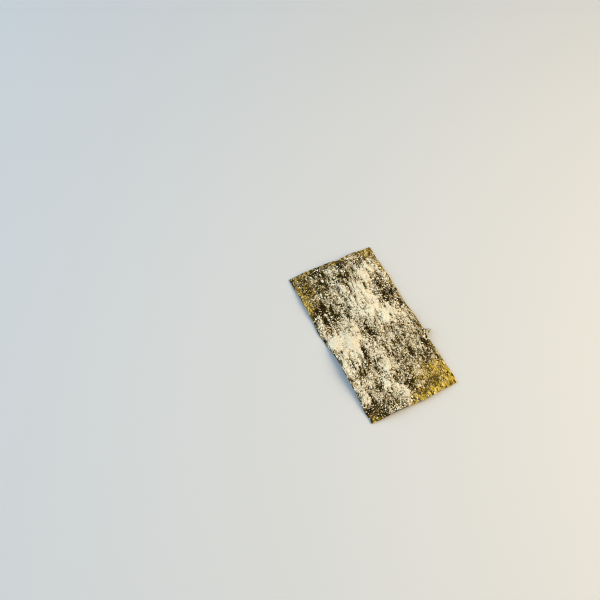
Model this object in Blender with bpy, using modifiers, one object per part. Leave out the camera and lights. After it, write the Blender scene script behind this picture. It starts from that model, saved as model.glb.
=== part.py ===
"""A strip of crisp fried seaweed with clumps of pale seasoning stuck to its upper face.

The strip lies on its plain face. Its length runs along Y, its width along X and its thickness
along Z. The origin is under the middle of the strip, on the surface that it rests on.
Sizes are in metres. Places on the strip are given as two shares: across runs from 0 at the
left side to 1 at the right side, and down runs from 0 at the far end to 1 at the near end.
"""

import math
import random

import bmesh
import bpy
from mathutils import Euler, Vector, noise

# The sheet
LENGTH = 0.075
WIDTH = 0.040
SHEET_THICKNESS = 0.0007
CELL = 0.00165

# How the sheet lies: its corners and one foot on the left side touch the surface
LEFT_FOOT = 0.37
LEFT_FAR_LIFT = 0.0010
LEFT_NEAR_LIFT = 0.0024
RIGHT_LIFT = 0.0009
END_CROWN = 0.0012
MIDDLE_CROWN = 0.0026
PUCKER_HEIGHT = 0.0011
PUCKER_SIZE = (0.010, 0.017)
PUCKER_SEED = 2.4
CRINKLE_HEIGHT = 0.0006
CRINKLE_SIZE = (0.0043, 0.0075)
CRINKLE_SEED = 5.1

# The cut sides, which are a little uneven. The unevenness fades inwards, as a power of the
# distance from the middle: 0 on the middle line and 1 on the cut side.
SIDE_FADE = 4
END_FADE = 6
WOBBLE = 0.0006
WOBBLE_SIZE = 0.009
NICK = 0.00022
NICK_SIZE = 2.2 * CELL
LEFT_SEED = 3.7
RIGHT_SEED = 8.2
END_SEED = 14.5
NICK_SEED_STEP = 20
LEFT_BULGE = 0.0006
LEFT_BULGE_REACH = 0.0075
NEAR_END_BULGE = 0.0009
EAR_LENGTH = 0.0030
EAR_DOWN = 0.655
EAR_REACH = 0.0011

# The crease that runs along the left half
CREASE_PLACE = (0.29, 0.64)
CREASE_REACH = (0.0013, 0.0062)
CREASE_DEPTH = 0.0007

# The seasoning that lies in drifts on the upper face. Each drift has its place across and
# down, its half width and half length in millimetres, its lean in degrees and its fullness.
DRIFT_HEIGHT = 0.0010
DRIFTS = (
    (0.88, 0.10, 2.0, 3.0, -35, 0.40),
    (0.93, 0.17, 1.8, 2.6, 0, 0.50),
    (0.80, 0.15, 2.6, 3.6, -35, 0.85),
    (0.70, 0.20, 2.4, 4.0, -15, 0.55),
    (0.66, 0.28, 3.6, 5.0, -6, 1.00),
    (0.64, 0.38, 4.6, 5.0, 0, 1.00),
    (0.71, 0.47, 4.8, 3.2, 10, 1.00),
    (0.95, 0.49, 2.0, 3.0, 0, 0.35),
    (0.43, 0.05, 1.4, 3.0, 0, 0.60),
    (0.44, 0.24, 1.8, 3.6, 0, 0.45),
    (0.46, 0.34, 2.4, 4.6, 10, 0.70),
    (0.30, 0.41, 2.4, 3.0, 10, 0.65),
    (0.19, 0.49, 5.0, 4.2, 0, 1.00),
    (0.05, 0.50, 3.0, 5.0, 0, 0.95),
    (0.21, 0.57, 3.0, 3.8, 0, 1.00),
    (0.32, 0.53, 1.7, 5.0, 6, 0.90),
    (0.04, 0.65, 2.0, 4.6, 0, 0.75),
    (0.16, 0.65, 1.6, 2.6, 0, 0.75),
    (0.43, 0.67, 2.2, 5.0, 0, 0.75),
    (0.56, 0.65, 1.6, 3.0, 0, 0.40),
    (0.45, 0.75, 2.3, 4.6, 0, 0.90),
    (0.32, 0.79, 1.6, 3.2, 0, 0.45),
    (0.05, 0.83, 2.2, 4.6, 0, 0.60),
    (0.18, 0.78, 2.2, 2.2, 0, 0.45),
    (0.32, 0.84, 1.6, 2.2, 0, 0.60),
    (0.44, 0.92, 2.2, 4.4, 5, 0.95),
    (0.68, 0.845, 1.9, 2.0, 0, 0.60),
    (1.02, 0.655, 2.6, 1.4, 0, 0.90),
)
CRUST_ROUGHNESS = 0.00034
CRUST_GRAIN = 0.0027
CRUST_SEED = 31.0

# The largest crumbs of the seasoning
CRUMB_COUNT = 150
CRUMB_RADIUS = (0.0004, 0.0008)
CRUMB_FLATNESS = 0.6
CRUMB_SPACING = 2.1
CRUMB_BITE = 0.00036
CRUMB_SEED = 11
CRUMB_MARGIN = 0.05
CRUMB_TRIES = 20000
BARE_CRUMB_SHARE = 0.04
CRUMB_LENGTH_RANGE = (0.7, 1.0)

# Half the distance, in shares of the strip, over which its slope is measured
SLOPE_STEP = 0.01

UNION_NAME = "seaweed_strip"


def clear_scene():
    """Removes every object that the scene starts with."""
    for item in list(bpy.data.objects):
        bpy.data.objects.remove(item)


def hump(value, start, end):
    """A smooth hump that is 0 at start and end and 1 midway between them."""
    if not start < value < end:
        return 0.0
    return math.sin(math.pi * (value - start) / (end - start)) ** 2


def bell(distance, reach):
    """A bell curve, 1 in the middle."""
    return math.exp(-((distance / reach) ** 2))


def wander(place, size, seed):
    """Smooth noise between about -1 and 1, whose waves are as long as size."""
    return noise.noise(Vector((place[0] / size[0], place[1] / size[1], seed)))


def flat_place(across, down):
    """Where a point of the sheet lies when seen from above, with the uneven cut sides."""
    x = (across - 0.5) * WIDTH
    y = (0.5 - down) * LENGTH
    side = abs(2 * across - 1) ** SIDE_FADE
    end = abs(2 * down - 1) ** END_FADE
    if across < 0.5:
        shift = -LEFT_BULGE * bell((down - LEFT_FOOT) * LENGTH, LEFT_BULGE_REACH)
        seed = LEFT_SEED
    else:
        shift = 0.0
        seed = RIGHT_SEED
    shift += WOBBLE * wander((y, 0.0), (WOBBLE_SIZE, 1.0), seed)
    shift += NICK * wander((y, 0.0), (NICK_SIZE, 1.0), seed + NICK_SEED_STEP)
    if across > 0.5:
        shift += EAR_LENGTH * bell((down - EAR_DOWN) * LENGTH, EAR_REACH) * side**SIDE_FADE
    lengthwise = WOBBLE * wander((x, 0.0), (WOBBLE_SIZE, 1.0), END_SEED + round(down))
    if down > 0.5:
        lengthwise -= NEAR_END_BULGE * 4 * across * (1 - across)
    return x + shift * side, y + lengthwise * end


def rest_height(across, down):
    """Height of the plain lower face above the surface that the strip lies on."""
    left = LEFT_FAR_LIFT * hump(down, 0, LEFT_FOOT) + LEFT_NEAR_LIFT * hump(down, LEFT_FOOT, 1)
    right = RIGHT_LIFT * hump(down, 0, 1)
    crown = END_CROWN + (MIDDLE_CROWN - END_CROWN) * hump(down, 0, 1)
    place = (across * WIDTH, down * LENGTH)
    corner = (2 * across - 1) ** 2 * (2 * down - 1) ** 2
    pucker = PUCKER_HEIGHT * wander(place, PUCKER_SIZE, PUCKER_SEED)
    pucker += CRINKLE_HEIGHT * wander(place, CRINKLE_SIZE, CRINKLE_SEED)
    crease = CREASE_DEPTH
    crease *= bell((across - CREASE_PLACE[0]) * WIDTH, CREASE_REACH[0])
    crease *= bell((down - CREASE_PLACE[1]) * LENGTH, CREASE_REACH[1])
    height = left * (1 - across) + right * across + crown * 4 * across * (1 - across)
    return max(0.0, height + pucker * (1 - corner) - crease)


def drift_depth(across, down):
    """How much seasoning lies on a place of the upper face, from 0 to 1."""
    bare = 1.0
    for centre_across, centre_down, half_width, half_length, lean, fullness in DRIFTS:
        x = (across - centre_across) * WIDTH * 1000
        y = (centre_down - down) * LENGTH * 1000
        turn = math.radians(lean)
        sideways = (x * math.cos(turn) + y * math.sin(turn)) / half_width
        lengthways = (y * math.cos(turn) - x * math.sin(turn)) / half_length
        bare *= 1 - fullness * math.exp(-(sideways**2 + lengthways**2))
    return 1 - bare


def crust_depth(across, down):
    """Height of the crust above the sheet's plain thickness, with its coarse grain."""
    place = (across * WIDTH, down * LENGTH)
    grain = CRUST_ROUGHNESS * wander(place, (CRUST_GRAIN, CRUST_GRAIN), CRUST_SEED)
    return DRIFT_HEIGHT * drift_depth(across, down) + grain


def sheet_point(across, down):
    """A point of the sheet's lower face."""
    x, y = flat_place(across, down)
    return Vector((x, y, rest_height(across, down)))


def sheet_normal(across, down):
    """The sheet's upward direction at a place on it."""
    step = SLOPE_STEP
    along_x = sheet_point(across + step, down) - sheet_point(across - step, down)
    along_y = sheet_point(across, down - step) - sheet_point(across, down + step)
    return along_x.cross(along_y).normalized()


def make_sheet(collection, material):
    """The wavy sheet and its crust: an open grid, given its thickness by Solidify."""
    mesh = bpy.data.meshes.new(UNION_NAME)
    shape = bmesh.new()
    bmesh.ops.create_grid(
        shape, x_segments=round(WIDTH / CELL), y_segments=round(LENGTH / CELL), size=1.0
    )
    weights = []
    thickest = SHEET_THICKNESS + DRIFT_HEIGHT + CRUST_ROUGHNESS
    for vertex in shape.verts:
        across = (vertex.co.x + 1) / 2
        down = (1 - vertex.co.y) / 2
        weights.append((SHEET_THICKNESS + crust_depth(across, down)) / thickest)
        vertex.co = sheet_point(across, down)
    bmesh.ops.triangulate(shape, faces=shape.faces, quad_method="SHORT_EDGE")
    shape.to_mesh(mesh)
    shape.free()
    mesh.materials.append(material)
    sheet = bpy.data.objects.new(UNION_NAME, mesh)
    collection.objects.link(sheet)
    group = sheet.vertex_groups.new(name="thickness")
    for index, weight in enumerate(weights):
        group.add([index], weight, "REPLACE")
    solidify = sheet.modifiers.new("Thickness", "SOLIDIFY")
    solidify.thickness = thickest
    solidify.offset = 1
    solidify.vertex_group = group.name
    return sheet


def crumb_places():
    """Places and radii of the crumbs, the largest first, thick where the drifts are deep."""
    draw = random.Random(CRUMB_SEED)
    found = []
    for _ in range(CRUMB_TRIES):
        if len(found) == CRUMB_COUNT:
            break
        share = len(found) / CRUMB_COUNT
        radius = CRUMB_RADIUS[1] + (CRUMB_RADIUS[0] - CRUMB_RADIUS[1]) * share
        across = draw.uniform(CRUMB_MARGIN, 1 - CRUMB_MARGIN)
        down = draw.uniform(CRUMB_MARGIN, 1 - CRUMB_MARGIN)
        chance = BARE_CRUMB_SHARE + (1 - BARE_CRUMB_SHARE) * drift_depth(across, down)
        if draw.random() > chance:
            continue
        place = Vector(((across - 0.5) * WIDTH, (0.5 - down) * LENGTH))
        crowded = any(
            (place - other).length < CRUMB_SPACING * (radius + other_radius) / 2
            for other, other_radius, _, _ in found
        )
        if not crowded:
            found.append((place, radius, across, down))
    return found


def make_crumbs(collection):
    """The crumbs: flattened low spheres, sunk a little into the crust."""
    draw = random.Random(CRUMB_SEED + 1)
    for _, radius, across, down in crumb_places():
        normal = sheet_normal(across, down)
        surface = SHEET_THICKNESS + crust_depth(across, down)
        centre = sheet_point(across, down)
        centre += normal * (surface + CRUMB_FLATNESS * radius - CRUMB_BITE)
        bpy.ops.mesh.primitive_ico_sphere_add(subdivisions=1, radius=radius, location=centre)
        crumb = bpy.context.object
        crumb.name = "crumb"
        crumb.scale = (1.0, draw.uniform(*CRUMB_LENGTH_RANGE), CRUMB_FLATNESS)
        spin = Euler((0, 0, draw.uniform(0, math.tau))).to_quaternion()
        crumb.rotation_mode = "QUATERNION"
        crumb.rotation_quaternion = normal.to_track_quat("Z", "Y") @ spin
        for other in crumb.users_collection:
            other.objects.unlink(crumb)
        collection.objects.link(crumb)
        crumb.hide_render = True
        crumb.display_type = "WIRE"


def fuse(sheet, crumbs):
    """Joins the crumbs to the sheet with one Boolean union, then removes them."""
    union = sheet.modifiers.new("Crumbs", "BOOLEAN")
    union.operation = "UNION"
    union.operand_type = "COLLECTION"
    union.collection = crumbs
    union.solver = "MANIFOLD"
    bpy.context.view_layer.update()
    graph = bpy.context.evaluated_depsgraph_get()
    whole = bpy.data.meshes.new_from_object(sheet.evaluated_get(graph))
    sheet.modifiers.clear()
    sheet.vertex_groups.clear()
    sheet.data = whole
    whole.name = UNION_NAME
    for crumb in list(crumbs.objects):
        bpy.data.objects.remove(crumb)
    bpy.data.collections.remove(crumbs)


def centre_on_origin(strip):
    """Moves the mesh so that the origin is under the middle of it, at its lowest point."""
    points = [vertex.co for vertex in strip.data.vertices]
    low = Vector(min(point[axis] for point in points) for axis in range(3))
    high = Vector(max(point[axis] for point in points) for axis in range(3))
    for vertex in strip.data.vertices:
        vertex.co.x -= (low.x + high.x) / 2
        vertex.co.y -= (low.y + high.y) / 2
        vertex.co.z -= low.z


def seaweed_material():
    """Dark olive seaweed greyed by its dusting."""
    material = bpy.data.materials.new("seasoned_seaweed")
    material.use_nodes = True
    shader = material.node_tree.nodes["Principled BSDF"]
    shader.inputs["Base Color"].default_value = (0.30, 0.28, 0.19, 1.0)
    shader.inputs["Roughness"].default_value = 0.7
    shader.inputs["Metallic"].default_value = 0.0
    return material


def new_collection(name):
    """A collection in the scene."""
    collection = bpy.data.collections.new(name)
    bpy.context.scene.collection.children.link(collection)
    return collection


def main():
    clear_scene()
    snack = new_collection("seaweed_snack")
    crumbs = new_collection("crumbs")
    strip = make_sheet(snack, seaweed_material())
    make_crumbs(crumbs)
    fuse(strip, crumbs)
    centre_on_origin(strip)
    strip.data.shade_flat()


main()
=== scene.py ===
"""A strip of crisp fried seaweed under clumps of pale powdery seasoning.

The strip lies on its plain face, with its length along Y, its width along X and the seasoned
face up. Sizes are in metres. A place on the strip is given by two shares: across runs from 0 at
the left side to 1 at the right side, and down from 0 at the far end to 1 at the near end.
"""

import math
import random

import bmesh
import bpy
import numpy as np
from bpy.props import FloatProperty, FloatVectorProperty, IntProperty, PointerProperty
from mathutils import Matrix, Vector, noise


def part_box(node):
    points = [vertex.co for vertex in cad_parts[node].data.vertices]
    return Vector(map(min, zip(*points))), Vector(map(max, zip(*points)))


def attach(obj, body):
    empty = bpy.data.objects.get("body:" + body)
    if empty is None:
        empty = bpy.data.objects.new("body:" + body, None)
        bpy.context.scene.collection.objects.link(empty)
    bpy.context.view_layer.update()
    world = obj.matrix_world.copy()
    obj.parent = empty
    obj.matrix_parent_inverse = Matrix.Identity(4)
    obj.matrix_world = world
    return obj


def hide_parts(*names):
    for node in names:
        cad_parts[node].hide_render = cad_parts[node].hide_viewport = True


bl_info = {
    "name": "Seasoned Seaweed Strip",
    "version": (1, 0, 0),
    "blender": (4, 5, 0),
    "location": "3D View > Sidebar > Seaweed",
    "description": "A strip of crisp fried seaweed under clumps of pale seasoning",
    "category": "Add Mesh",
}

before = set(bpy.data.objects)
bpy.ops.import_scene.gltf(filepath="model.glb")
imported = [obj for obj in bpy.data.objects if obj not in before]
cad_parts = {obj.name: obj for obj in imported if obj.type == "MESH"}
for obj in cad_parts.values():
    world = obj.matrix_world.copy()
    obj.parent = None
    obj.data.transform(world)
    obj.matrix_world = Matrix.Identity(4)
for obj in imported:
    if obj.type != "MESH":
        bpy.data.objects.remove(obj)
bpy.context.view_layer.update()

STRIP_NODE = "seaweed_strip"
BODY = "root"

# How the sheet lies: its corners and one foot on the left side touch the surface
LEFT_FOOT = 0.37
PUCKER_SIZE = (0.010, 0.017)
PUCKER_SEED = 2.4
CRINKLE_SIZE = (0.0043, 0.0075)
CRINKLE_SEED = 5.1

# The cut sides. Their unevenness fades inwards, as a power of the distance from the middle.
SIDE_FADE = 4
END_FADE = 6
WOBBLE = 0.0006
WOBBLE_SIZE = 0.009
NICK = 0.00022
NICK_SIZE = 0.00363
TOOTH = 0.00016
TOOTH_SIZE = 0.0011
LEFT_SEED = 3.7
RIGHT_SEED = 8.2
END_SEED = 14.5
NICK_SEED_STEP = 20
TOOTH_SEED_STEP = 47
LEFT_BULGE = 0.0006
LEFT_BULGE_REACH = 0.0075
NEAR_END_BULGE = 0.0009
EAR_LENGTH = 0.0030
EAR_DOWN = 0.655
EAR_REACH = 0.0011

# The crease that runs along the left half
CREASE_PLACE = (0.29, 0.64)
CREASE_REACH = (0.0013, 0.0062)
CREASE_DEPTH = 0.0007

# Patches of the upper face. Each has its place across and down, its half width and half length
# in millimetres, its lean in degrees and how strong it is.
DRIFTS = (
    (0.88, 0.10, 2.0, 3.0, -35, 0.40),
    (0.93, 0.17, 1.8, 2.6, 0, 0.50),
    (0.80, 0.15, 2.6, 3.6, -35, 0.85),
    (0.70, 0.20, 2.4, 4.0, -15, 0.55),
    (0.66, 0.28, 3.6, 5.0, -6, 1.00),
    (0.64, 0.38, 4.6, 5.0, 0, 1.00),
    (0.71, 0.47, 4.8, 3.2, 10, 1.00),
    (0.95, 0.49, 2.0, 3.0, 0, 0.35),
    (0.43, 0.05, 1.4, 3.0, 0, 0.60),
    (0.44, 0.24, 1.8, 3.6, 0, 0.45),
    (0.46, 0.34, 2.4, 4.6, 10, 0.70),
    (0.30, 0.41, 2.4, 3.0, 10, 0.65),
    (0.19, 0.49, 5.0, 4.2, 0, 1.00),
    (0.05, 0.50, 3.0, 5.0, 0, 0.95),
    (0.21, 0.57, 3.0, 3.8, 0, 1.00),
    (0.32, 0.53, 1.7, 5.0, 6, 0.90),
    (0.04, 0.65, 2.0, 4.6, 0, 0.75),
    (0.16, 0.65, 1.6, 2.6, 0, 0.75),
    (0.43, 0.67, 2.2, 5.0, 0, 0.75),
    (0.56, 0.65, 1.6, 3.0, 0, 0.40),
    (0.45, 0.75, 2.3, 4.6, 0, 0.90),
    (0.32, 0.79, 1.6, 3.2, 0, 0.45),
    (0.05, 0.83, 2.2, 4.6, 0, 0.60),
    (0.18, 0.78, 2.2, 2.2, 0, 0.45),
    (0.32, 0.84, 1.6, 2.2, 0, 0.60),
    (0.44, 0.92, 2.2, 4.4, 5, 0.95),
    (0.68, 0.845, 1.9, 2.0, 0, 0.60),
    (1.02, 0.655, 2.6, 1.4, 0, 0.90),
)
BARE_PATCHES_AND_FOLD_SHADE = (
    (0.13, 0.28, 4.2, 4.4, 0, 1.0), (0.06, 0.29, 3.0, 3.0, 0, 0.72), (0.03, 0.04, 2.4, 2.8, 0, 0.6),
    (0.06, 0.1, 2.0, 2.2, 0, 0.35), (0.44, 0.03, 1.6, 1.8, 0, 0.4), (0.81, 0.03, 1.6, 1.8, 0, 0.35),
    (0.05, 0.6, 1.6, 2.0, 0, 0.25), (0.31, 0.94, 1.8, 3.0, 0, 0.3), (0.2, 0.34, 2.2, 3.2, 0, 0.6),
    (0.34, 0.35, 2.0, 2.8, 0, 0.7), (0.85, 0.32, 3.5, 4.4, 0, 1.0), (0.84, 0.355, 1.9, 3.4, 0, 0.65),
    (0.83, 0.235, 2.0, 2.6, 0, 0.4), (0.97, 0.42, 2.0, 2.4, 0, 0.75), (0.17, 0.4, 2.0, 1.8, 0, 0.4),
    (0.45, 0.54, 2.6, 3.4, 0, 0.95), (0.73, 0.54, 1.6, 2.0, 0, 0.7), (0.293, 0.665, 0.9, 3.8, 0, 1.0),
    (0.18, 0.71, 2.4, 1.8, 0, 0.55), (0.57, 0.05, 2.0, 5.0, 0, 1.0), (0.55, 0.125, 1.2, 4.2, 0, 0.85),
    (0.69, 0.23, 1.2, 2.2, 8, 0.8), (0.46, 0.15, 1.6, 2.6, 0, 0.8), (0.45, 0.19, 1.5, 2.2, 0, 0.6),
    (0.3, 0.03, 3.0, 3.6, 0, 0.85), (0.13, 0.1, 3.8, 6.5, 0, 0.7), (0.93, 0.1, 1.8, 3.0, 0, 0.6),
    (0.57, 0.03, 2.2, 2.6, 0, 1.0), (0.31, 0.09, 1.6, 2.4, 0, 0.7), (0.675, 0.08, 1.5, 2.0, 0, 0.6),
    (0.31, 0.775, 1.6, 1.8, 0, 0.65), (0.06, 0.775, 2.0, 2.0, 0, 0.35), (0.44, 0.91, 1.8, 2.6, 0, 0.45),
    (0.45, 0.7, 1.8, 3.4, 0, 0.35), (0.22, 0.925, 3.0, 2.4, 0, 0.35), (0.1, 0.95, 4.8, 4.0, 0, 0.8),
    (0.56, 0.86, 2.2, 6.0, 0, 0.75), (0.66, 0.74, 2.6, 2.4, 0, 0.5), (0.31, 0.8, 1.8, 2.2, 0, 0.3),
    # The patch at 0.74 across and 0.725 down bares dark sheet as painted shade of a small fold
    (0.18, 0.16, 2.0, 2.4, 0, 0.35), (0.74, 0.725, 0.8, 2.0, 12, 1.0), (0.68, 0.97, 2.6, 2.4, 0, 0.7),
    (0.68, 0.25, 1.2, 1.6, 0, 0.3), (0.45, 0.225, 1.5, 2.0, 0, 0.45), (0.95, 0.74, 2.4, 5.0, 0, 0.9),
    (0.85, 0.8, 3.2, 3.0, 0, 0.85), (0.8, 0.91, 1.8, 2.4, 0, 0.6), (0.45, 0.59, 1.8, 4.0, 0, 0.65),
)
LACE_PATCHES = (
    (0.71, 0.03, 2.4, 2.4, 0, 0.7), (0.7, 0.155, 2.4, 3.0, 0, 1.0), (0.69, 0.17, 1.8, 1.8, 0, 0.55),
    (0.56, 0.09, 1.5, 2.2, 0, 0.85), (0.56, 0.22, 1.8, 2.0, 0, 0.6), (0.69, 0.02, 1.6, 1.6, 0, 0.5),
    (0.95, 0.155, 2.2, 2.8, 0, 0.9), (0.97, 0.34, 2.8, 3.0, 0, 1.0), (0.44, 0.47, 2.0, 2.4, 0, 0.7),
    (0.19, 0.63, 2.4, 3.4, 0, 0.9), (0.35, 0.665, 1.4, 4.6, 0, 0.7), (0.33, 0.59, 1.4, 2.0, 0, 0.6),
    (0.56, 0.2, 2.2, 4.0, 0, 1.0), (0.19, 0.08, 2.4, 2.6, 0, 0.7), (0.44, 0.09, 2.0, 3.0, 0, 1.0),
    (0.41, 0.21, 1.6, 2.4, 0, 0.5), (0.06, 0.17, 3.0, 4.0, 0, 0.9), (0.19, 0.17, 2.2, 3.0, 0, 0.6),
    (0.94, 0.22, 2.0, 2.4, 0, 0.5), (0.32, 0.33, 2.0, 3.0, 0, 0.4), (0.05, 0.35, 2.0, 2.6, 0, 0.5),
    (0.52, 0.44, 2.6, 3.6, 0, 0.75), (0.8, 0.59, 2.4, 2.4, 0, 0.6), (0.06, 0.72, 2.4, 2.6, 0, 1.0),
    (0.44, 0.78, 1.8, 2.4, 0, 0.8), (0.69, 0.86, 2.4, 3.6, 0, 0.6), (0.44, 0.42, 2.6, 3.0, 0, 0.9),
    (0.45, 0.345, 2.0, 2.2, 0, 0.5), (0.82, 0.42, 2.8, 3.4, 0, 0.9), (0.92, 0.59, 3.4, 3.6, 0, 0.8),
    (0.82, 0.725, 2.4, 2.2, 0, 0.9), (0.06, 0.54, 2.2, 2.4, 0, 1.0), (0.58, 0.535, 2.4, 2.6, 0, 0.6),
    (0.7, 0.6, 2.2, 2.2, 0, 0.6), (0.57, 0.66, 1.8, 2.4, 0, 0.6), (0.68, 0.78, 2.2, 2.4, 0, 0.6),
    (0.19, 0.84, 2.0, 2.2, 0, 0.5), (0.31, 0.965, 2.2, 2.2, 0, 0.6), (0.31, 0.835, 2.6, 3.0, 0, 1.0),
    (0.83, 0.71, 2.4, 2.6, 0, 0.8), (0.81, 0.66, 2.2, 2.0, 0, 0.55), (0.2, 0.91, 2.4, 2.4, 0, 0.5),
)
GOLD_PATCHES = (
    (0.01, 0.05, 2.8, 4.6, 0, 0.55), (0.01, 0.17, 3.0, 6.5, 0, 0.8), (0.01, 0.28, 2.0, 5.0, 0, 0.45),
    (0.14, 0.12, 4.0, 9.0, 0, 0.45), (0.94, 0.01, 5.2, 3.0, 0, 0.9), (0.6, 0.0, 8.0, 1.5, 0, 0.75),
    (0.24, 0.0, 7.0, 1.6, 0, 0.65), (1.01, 0.2, 2.0, 11.0, 0, 0.85), (1.01, 0.5, 1.2, 9.0, 0, 0.7),
    (1.02, 0.95, 6.2, 5.0, 0, 1.0), (0.9, 1.0, 6.0, 2.4, 0, 1.0), (0.76, 1.0, 6.4, 3.0, 0, 0.95),
    (1.01, 0.77, 2.0, 7.0, 0, 0.6), (0.87, 0.885, 5.0, 4.6, 0, 0.65), (0.69, 0.88, 4.0, 5.0, 0, 0.5),
    (0.61, 0.97, 3.0, 3.0, 0, 0.7), (0.5, 1.0, 3.4, 1.8, 0, 0.55), (0.02, 1.0, 4.0, 2.8, 0, 0.72),
)

# Narrow slits in the powder, as the patches above. The first runs along the crease, and the dark sheet that
# it bares is painted shade in the crease
SLITS_AND_CREASE_SHADE = (
    (0.282, 0.630, 0.6, 5.0, -5, 1.00),
    (0.540, 0.130, 0.6, 5.4, 9, 0.90),
)

# The noise of the powder and of the sheet: how long its waves are across and down the strip, and
# its seed. The bend is how far it moves the thin lines of the net and of the veins.
FRAY_NOISE = ((0.0018, 0.0034), 14.8)
FINGER_NOISE = ((0.0010, 0.0048), 27.6)
BEND_NOISE = ((0.0022, 0.0030), 90.4)
STREAK_NOISE = ((0.0014, 0.0060), 61.3)
CLUMP_NOISE = ((0.0028, 0.0036), 44.1)
NET_NOISE = ((0.0006, 0.0017), 71.9)
CROSS_NOISE = ((0.0008, 0.0010), 75.3)
BLOB_NOISE = ((0.0005, 0.0007), 52.6)
DUST_NOISE = ((0.0004, 0.0005), 19.4)
BLISTER_NOISE = ((0.0011, 0.0019), 33.3)
WRINKLE_NOISE = ((0.0006, 0.0009), 34.7)
BATTER_NOISE = ((0.0015, 0.0056), 36.2)
BEND = 0.0005

# How sharply a patch ends (1 is a bell curve) and how far its border frays across and down
PATCH_EDGE = 1.25
PATCH_FRAY = (0.0016, 0.0045)

# The powder's cover: how much its streaks and clumps count, the streaks most at the far end, what
# drifts and lacy patches add, and what the other patches take away
STREAK_SHARE = 0.50
FAR_STREAKS = 1.3
STREAK_FALL = 0.6
CLUMP_SHARE = 0.42
DRIFT_GAIN = 0.85
LACE_GAIN = 0.42
BARE_LOSS = 0.85
GOLD_LOSS = 0.85
SLIT_LOSS = 0.95
FULLEST_COVER = 1.2

# The powder's relief: how much each noise counts. Half of it lies above the middle value, and the
# spread is how far the level moves from full cover to none.
RIDGE_STEEPNESS = 3
NET_SHARE = 0.55
CROSS_SHARE = 0.25
BLOB_SHARE = 0.50
DUST_SHARE = 0.25
RELIEF_MIDDLE = 0.34
RELIEF_SPREAD = 0.90

# The crust's height: the relief over which the thin net rises, the cover over which a drift does,
# the net's height where the cover is thin and what full cover adds, and how smooth a drift is
NET_RANGE = (-0.12, 0.30)
DRIFT_RANGE = (0.65, 1.25)
NET_HEIGHT = 0.55
NET_HEIGHT_GAIN = 0.6
DRIFT_SMOOTHNESS = 0.25

# The sheet's blisters and wrinkles, what golden batter adds to them, and its dark veins
BLISTER_SHARE = 0.7
GOLD_BLISTER_GAIN = 0.5
WRINKLE_SHARE = 0.6
BATTER_RISE = 0.4
BARE_BATTER_LOSS = 0.45
# How much of the batter colour the lower face keeps: partly batter on the underside, partly painted light
# that brightens the shaded side faces
UNDERSIDE_BATTER_AND_PAINTED_LIGHT = 0.8
VEIN_LEAN = 0.35
VEIN_STEEPNESS = 3.2

# How far the lower and the upper face stand in at their sides, the step over which the sheet's
# slope is read, and the angle past which its edges are sharp
SHEET_INSETS = (0.0003, 0.0)
CRUST_INSETS = (0.0003, 0.0001)
SLOPE_STEP = 0.006
SHARP_ANGLE = math.radians(50)

# The largest crumbs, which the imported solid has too
CRUMB_FLATNESS = 0.6
CRUMB_SPACING = 2.1
CRUMB_BITE = 0.00036
CRUMB_SEED = 11
CRUMB_MARGIN = 0.05
CRUMB_TRIES = 20000
BARE_CRUMB_SHARE = 0.04
CRUMB_LENGTH_RANGE = (0.7, 1.0)
CRUMB_GOLD = 0.6
CRUMB_PALENESS = 0.4

# How fast the far end's batter gives way to the near end's, and how high the palest powder lies
FAR_SHARE = 1.2
FAR_FALL = 2.4
PALEST_HEIGHT = 0.0006

# The chance that a try leaves a grain: the least, what the cover adds and what gold adds. Grains
# and dust are commonest halfway to these covers.
CRUMB_CHANCE = (0.02, 0.60)
GRAIN_CHANCE = (0.03, 0.85, 0.12)
GRAIN_COVER = 1.4
DUST_CHANCE = (0.04, 0.6)
DUST_COVER = 1.0

# The scattered grains: where they may lie across and down, how many are near the smallest radius,
# and the spread of how golden and how pale they are
GRAIN_ACROSS = (0.004, 0.996)
GRAIN_DOWN = (0.002, 0.998)
RADIUS_POWER = 0.6
GOLD_SPREAD = (-0.2, 1.2)
PALE_SPREAD = (-0.1, 0.9)
TRIES_PER_GRAIN = 60

# Materials measure places in millimetres. The batter's streaks run along the strip.
MILLIMETRES = 1000.0
STREAK_STRETCH = (1.7, 0.36, 1.0)

# What the darker tones of the powder keep of its red, green and blue
SHADED_CREAM = (0.80, 0.76, 0.66)

# The drift at the left side carries painted shade: a warm tint takes the blue of the cool light from the
# left off its slopes. Its tint, place and reach in millimetres
PAINTED_SHADE_TINT = (1.0, 0.945, 0.89)
PAINTED_SHADE_PLACE = (-13.5, 1.0, 2.0)
PAINTED_SHADE_REACH = (13.0, 5.0)

# The floor's half size, and where it fades into the backdrop, in millimetres from the strip
FLOOR_REACH = 3.0
FAR_RANGE = (350.0, 900.0)
BLACK = (0.0, 0.0, 0.0)

# The lights' places to the camera's right, forward and up, and their sizes
KEY_PLACE = (0.32, 0.0, 0.38)
KEY_SIZE = 0.45
FILL_PLACE = (-0.70, -0.07, 0.30)
FILL_SIZE = 1.0
SENSOR_WIDTH = 36.0


def hump(value, start, end):
    """A smooth hump that is 0 at start and end and 1 midway between them."""
    if not start < value < end:
        return 0.0
    return math.sin(math.pi * (value - start) / (end - start)) ** 2


def bell(distance, reach):
    """A bell curve, 1 in the middle."""
    return math.exp(-((distance / reach) ** 2))


def wander(place, size, seed):
    """Smooth noise between about -1 and 1, whose waves are as long as size."""
    return noise.noise(Vector((place[0] / size[0], place[1] / size[1], seed)))


def ridge(place, size, seed):
    """Noise that is 1 along a net of thin ridges and falls off between them."""
    return 1 - RIDGE_STEEPNESS * abs(wander(place, size, seed))


def bent(place):
    """The place, moved a little to the side, so that thin lines wander."""
    return place[0] + BEND * wander(place, *BEND_NOISE), place[1]


def clamp(value):
    """The value, kept between 0 and 1."""
    return min(1.0, max(0.0, value))


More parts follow.
